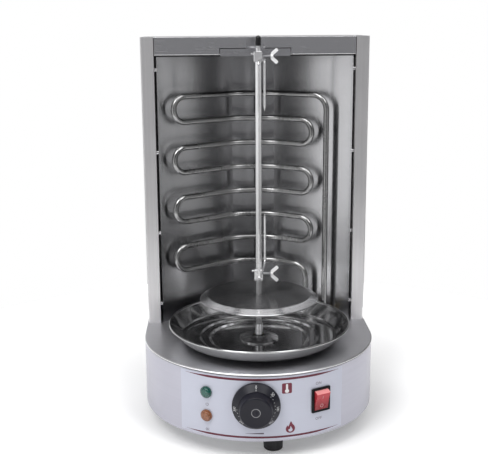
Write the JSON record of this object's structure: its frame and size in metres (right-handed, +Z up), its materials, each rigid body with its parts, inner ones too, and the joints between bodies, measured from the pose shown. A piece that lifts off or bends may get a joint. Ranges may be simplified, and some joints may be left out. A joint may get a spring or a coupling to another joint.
{
  "type": "rotisserie oven",
  "caption": "Upright electric rotisserie oven: a round-fronted base with controls, a turning vertical spit with forks and a disc over a drip pan, and a reflector tower with a heating element.",
  "frame": {"origin": "middle of the footprint box on the table, under the feet", "axes": "+Z up, the controls face -Y, +X to the right as seen from the front"},
  "size_m": [0.3012, 0.3277, 0.4978],
  "materials": {
    "skirt_steel": "satin, brushed along the wall",
    "deck_steel": "satin",
    "shell_steel": "satin, brushed upright",
    "roof_steel": "satin",
    "reflector_steel": "half polished, brushed upright",
    "zinc_steel": "dull zinc",
    "screw_steel": "bright zinc",
    "bracket_steel": "satin",
    "foot_rubber": "matte",
    "label_print": "printed satin foil",
    "green_lens": "clear moulded",
    "amber_lens": "clear moulded",
    "black_plastic": "moulded",
    "knob_plastic": "fine satin",
    "rocker_plastic": "translucent",
    "wire_pvc": "smooth",
    "element_sheath": "drawn tube",
    "bush_brass": "turned",
    "terminal_ceramic": "glazed white",
    "bulb_copper": "drawn",
    "spit_chrome": "bright",
    "socket_steel": "turned",
    "cap_black": "matte",
    "disc_steel": "spun",
    "pan_steel": "mirror polished inside",
    "dome_steel": "polished"
  },
  "bodies": {
    "oven": {"base_skirt": "skirt_steel", "deck": "deck_steel", "floor_plate": "zinc_steel", "feet": "foot_rubber", "foot_screws": "screw_steel", "floor_screws": "screw_steel", "control_label": "label_print", "green_lamp": "green_lens", "amber_lamp": "amber_lens", "lamp_bodies": "black_plastic", "thermostat_body": "black_plastic", "thermostat_nut": "screw_steel", "switch_housing": "black_plastic", "cable_gland": "black_plastic", "gland_nut": "black_plastic", "shaft_bush": "bush_brass", "gearbox": "zinc_steel", "motor": "black_plastic", "motor_plate": "zinc_steel", "motor_standoffs": "zinc_steel", "motor_screws": "screw_steel", "terminal_block": "black_plastic", "wiring": "wire_pvc", "outer_shell": "shell_steel", "tower_brackets": "zinc_steel", "tower_screws": "screw_steel", "roof": "roof_steel", "roof_screws": "screw_steel", "ceiling_plate": "roof_steel", "reflector": "reflector_steel", "reflector_spacers": "screw_steel", "reflector_screws": "screw_steel", "heating_element": "element_sheath", "element_bushings": "bush_brass", "element_terminals": "terminal_ceramic", "element_clips": "screw_steel", "sensing_bulb": "bulb_copper", "spit_bracket": "bracket_steel", "bracket_rivets": "screw_steel"},
    "knob": {"thermostat_knob": "knob_plastic", "thermostat_shaft": "socket_steel"},
    "rocker": {"switch_rocker": "rocker_plastic"},
    "spit": {"drive_shaft": "socket_steel", "drive_socket": "socket_steel", "spit_rod": "spit_chrome", "spit_cap": "cap_black", "disc_stop": "socket_steel", "stop_screw": "screw_steel"},
    "disc": {"meat_disc": "disc_steel"},
    "lower_fork": {"lower_fork": "spit_chrome"},
    "upper_fork": {"upper_fork": "spit_chrome"},
    "lower_wing_bolt": {"lower_wing_bolt": "spit_chrome"},
    "upper_wing_bolt": {"upper_wing_bolt": "spit_chrome"},
    "pan": {"drip_pan": "pan_steel", "pan_dome": "dome_steel"}
  },
  "joints": [
    {"name": "spit_spin", "type": "hinge", "parent": "oven", "child": "spit", "pos_m": [0, -0.0134, 0.109], "axis": [0, 0, 1], "continuous": true},
    {"name": "disc_slide", "type": "slide", "parent": "spit", "child": "disc", "axis": [0, 0, 1], "range_m": [0, 0.012]},
    {"name": "lower_fork_slide", "type": "slide", "parent": "spit", "child": "lower_fork", "axis": [0, 0, 1], "range_m": [0, 0.065]},
    {"name": "upper_fork_slide", "type": "slide", "parent": "spit", "child": "upper_fork", "axis": [0, 0, 1], "range_m": [-0.065, 0]},
    {"name": "lower_wing_turn", "type": "hinge", "parent": "lower_fork", "child": "lower_wing_bolt", "pos_m": [0.0099, -0.01479, 0.1978], "axis": [0.9903, -0.1392, 0], "range_deg": [0, 360]},
    {"name": "upper_wing_turn", "type": "hinge", "parent": "upper_fork", "child": "upper_wing_bolt", "pos_m": [0.0099, -0.01479, 0.4728], "axis": [0.9903, -0.1392, 0], "range_deg": [0, 360]},
    {"name": "pan_lift", "type": "slide", "parent": "oven", "child": "pan", "axis": [0, 0, 1], "range_m": [0, 0.02]},
    {"name": "knob_turn", "type": "hinge", "parent": "oven", "child": "knob", "pos_m": [-0.00994, -0.13707, 0.071], "axis": [-0.0663, -0.9978, 0], "range_deg": [0, 270]},
    {"name": "rocker_tilt", "type": "hinge", "parent": "oven", "child": "rocker", "pos_m": [0.06794, -0.12046, 0.0698], "axis": [-0.8906, -0.4548, 0], "range_deg": [0, 28]}
  ]
}
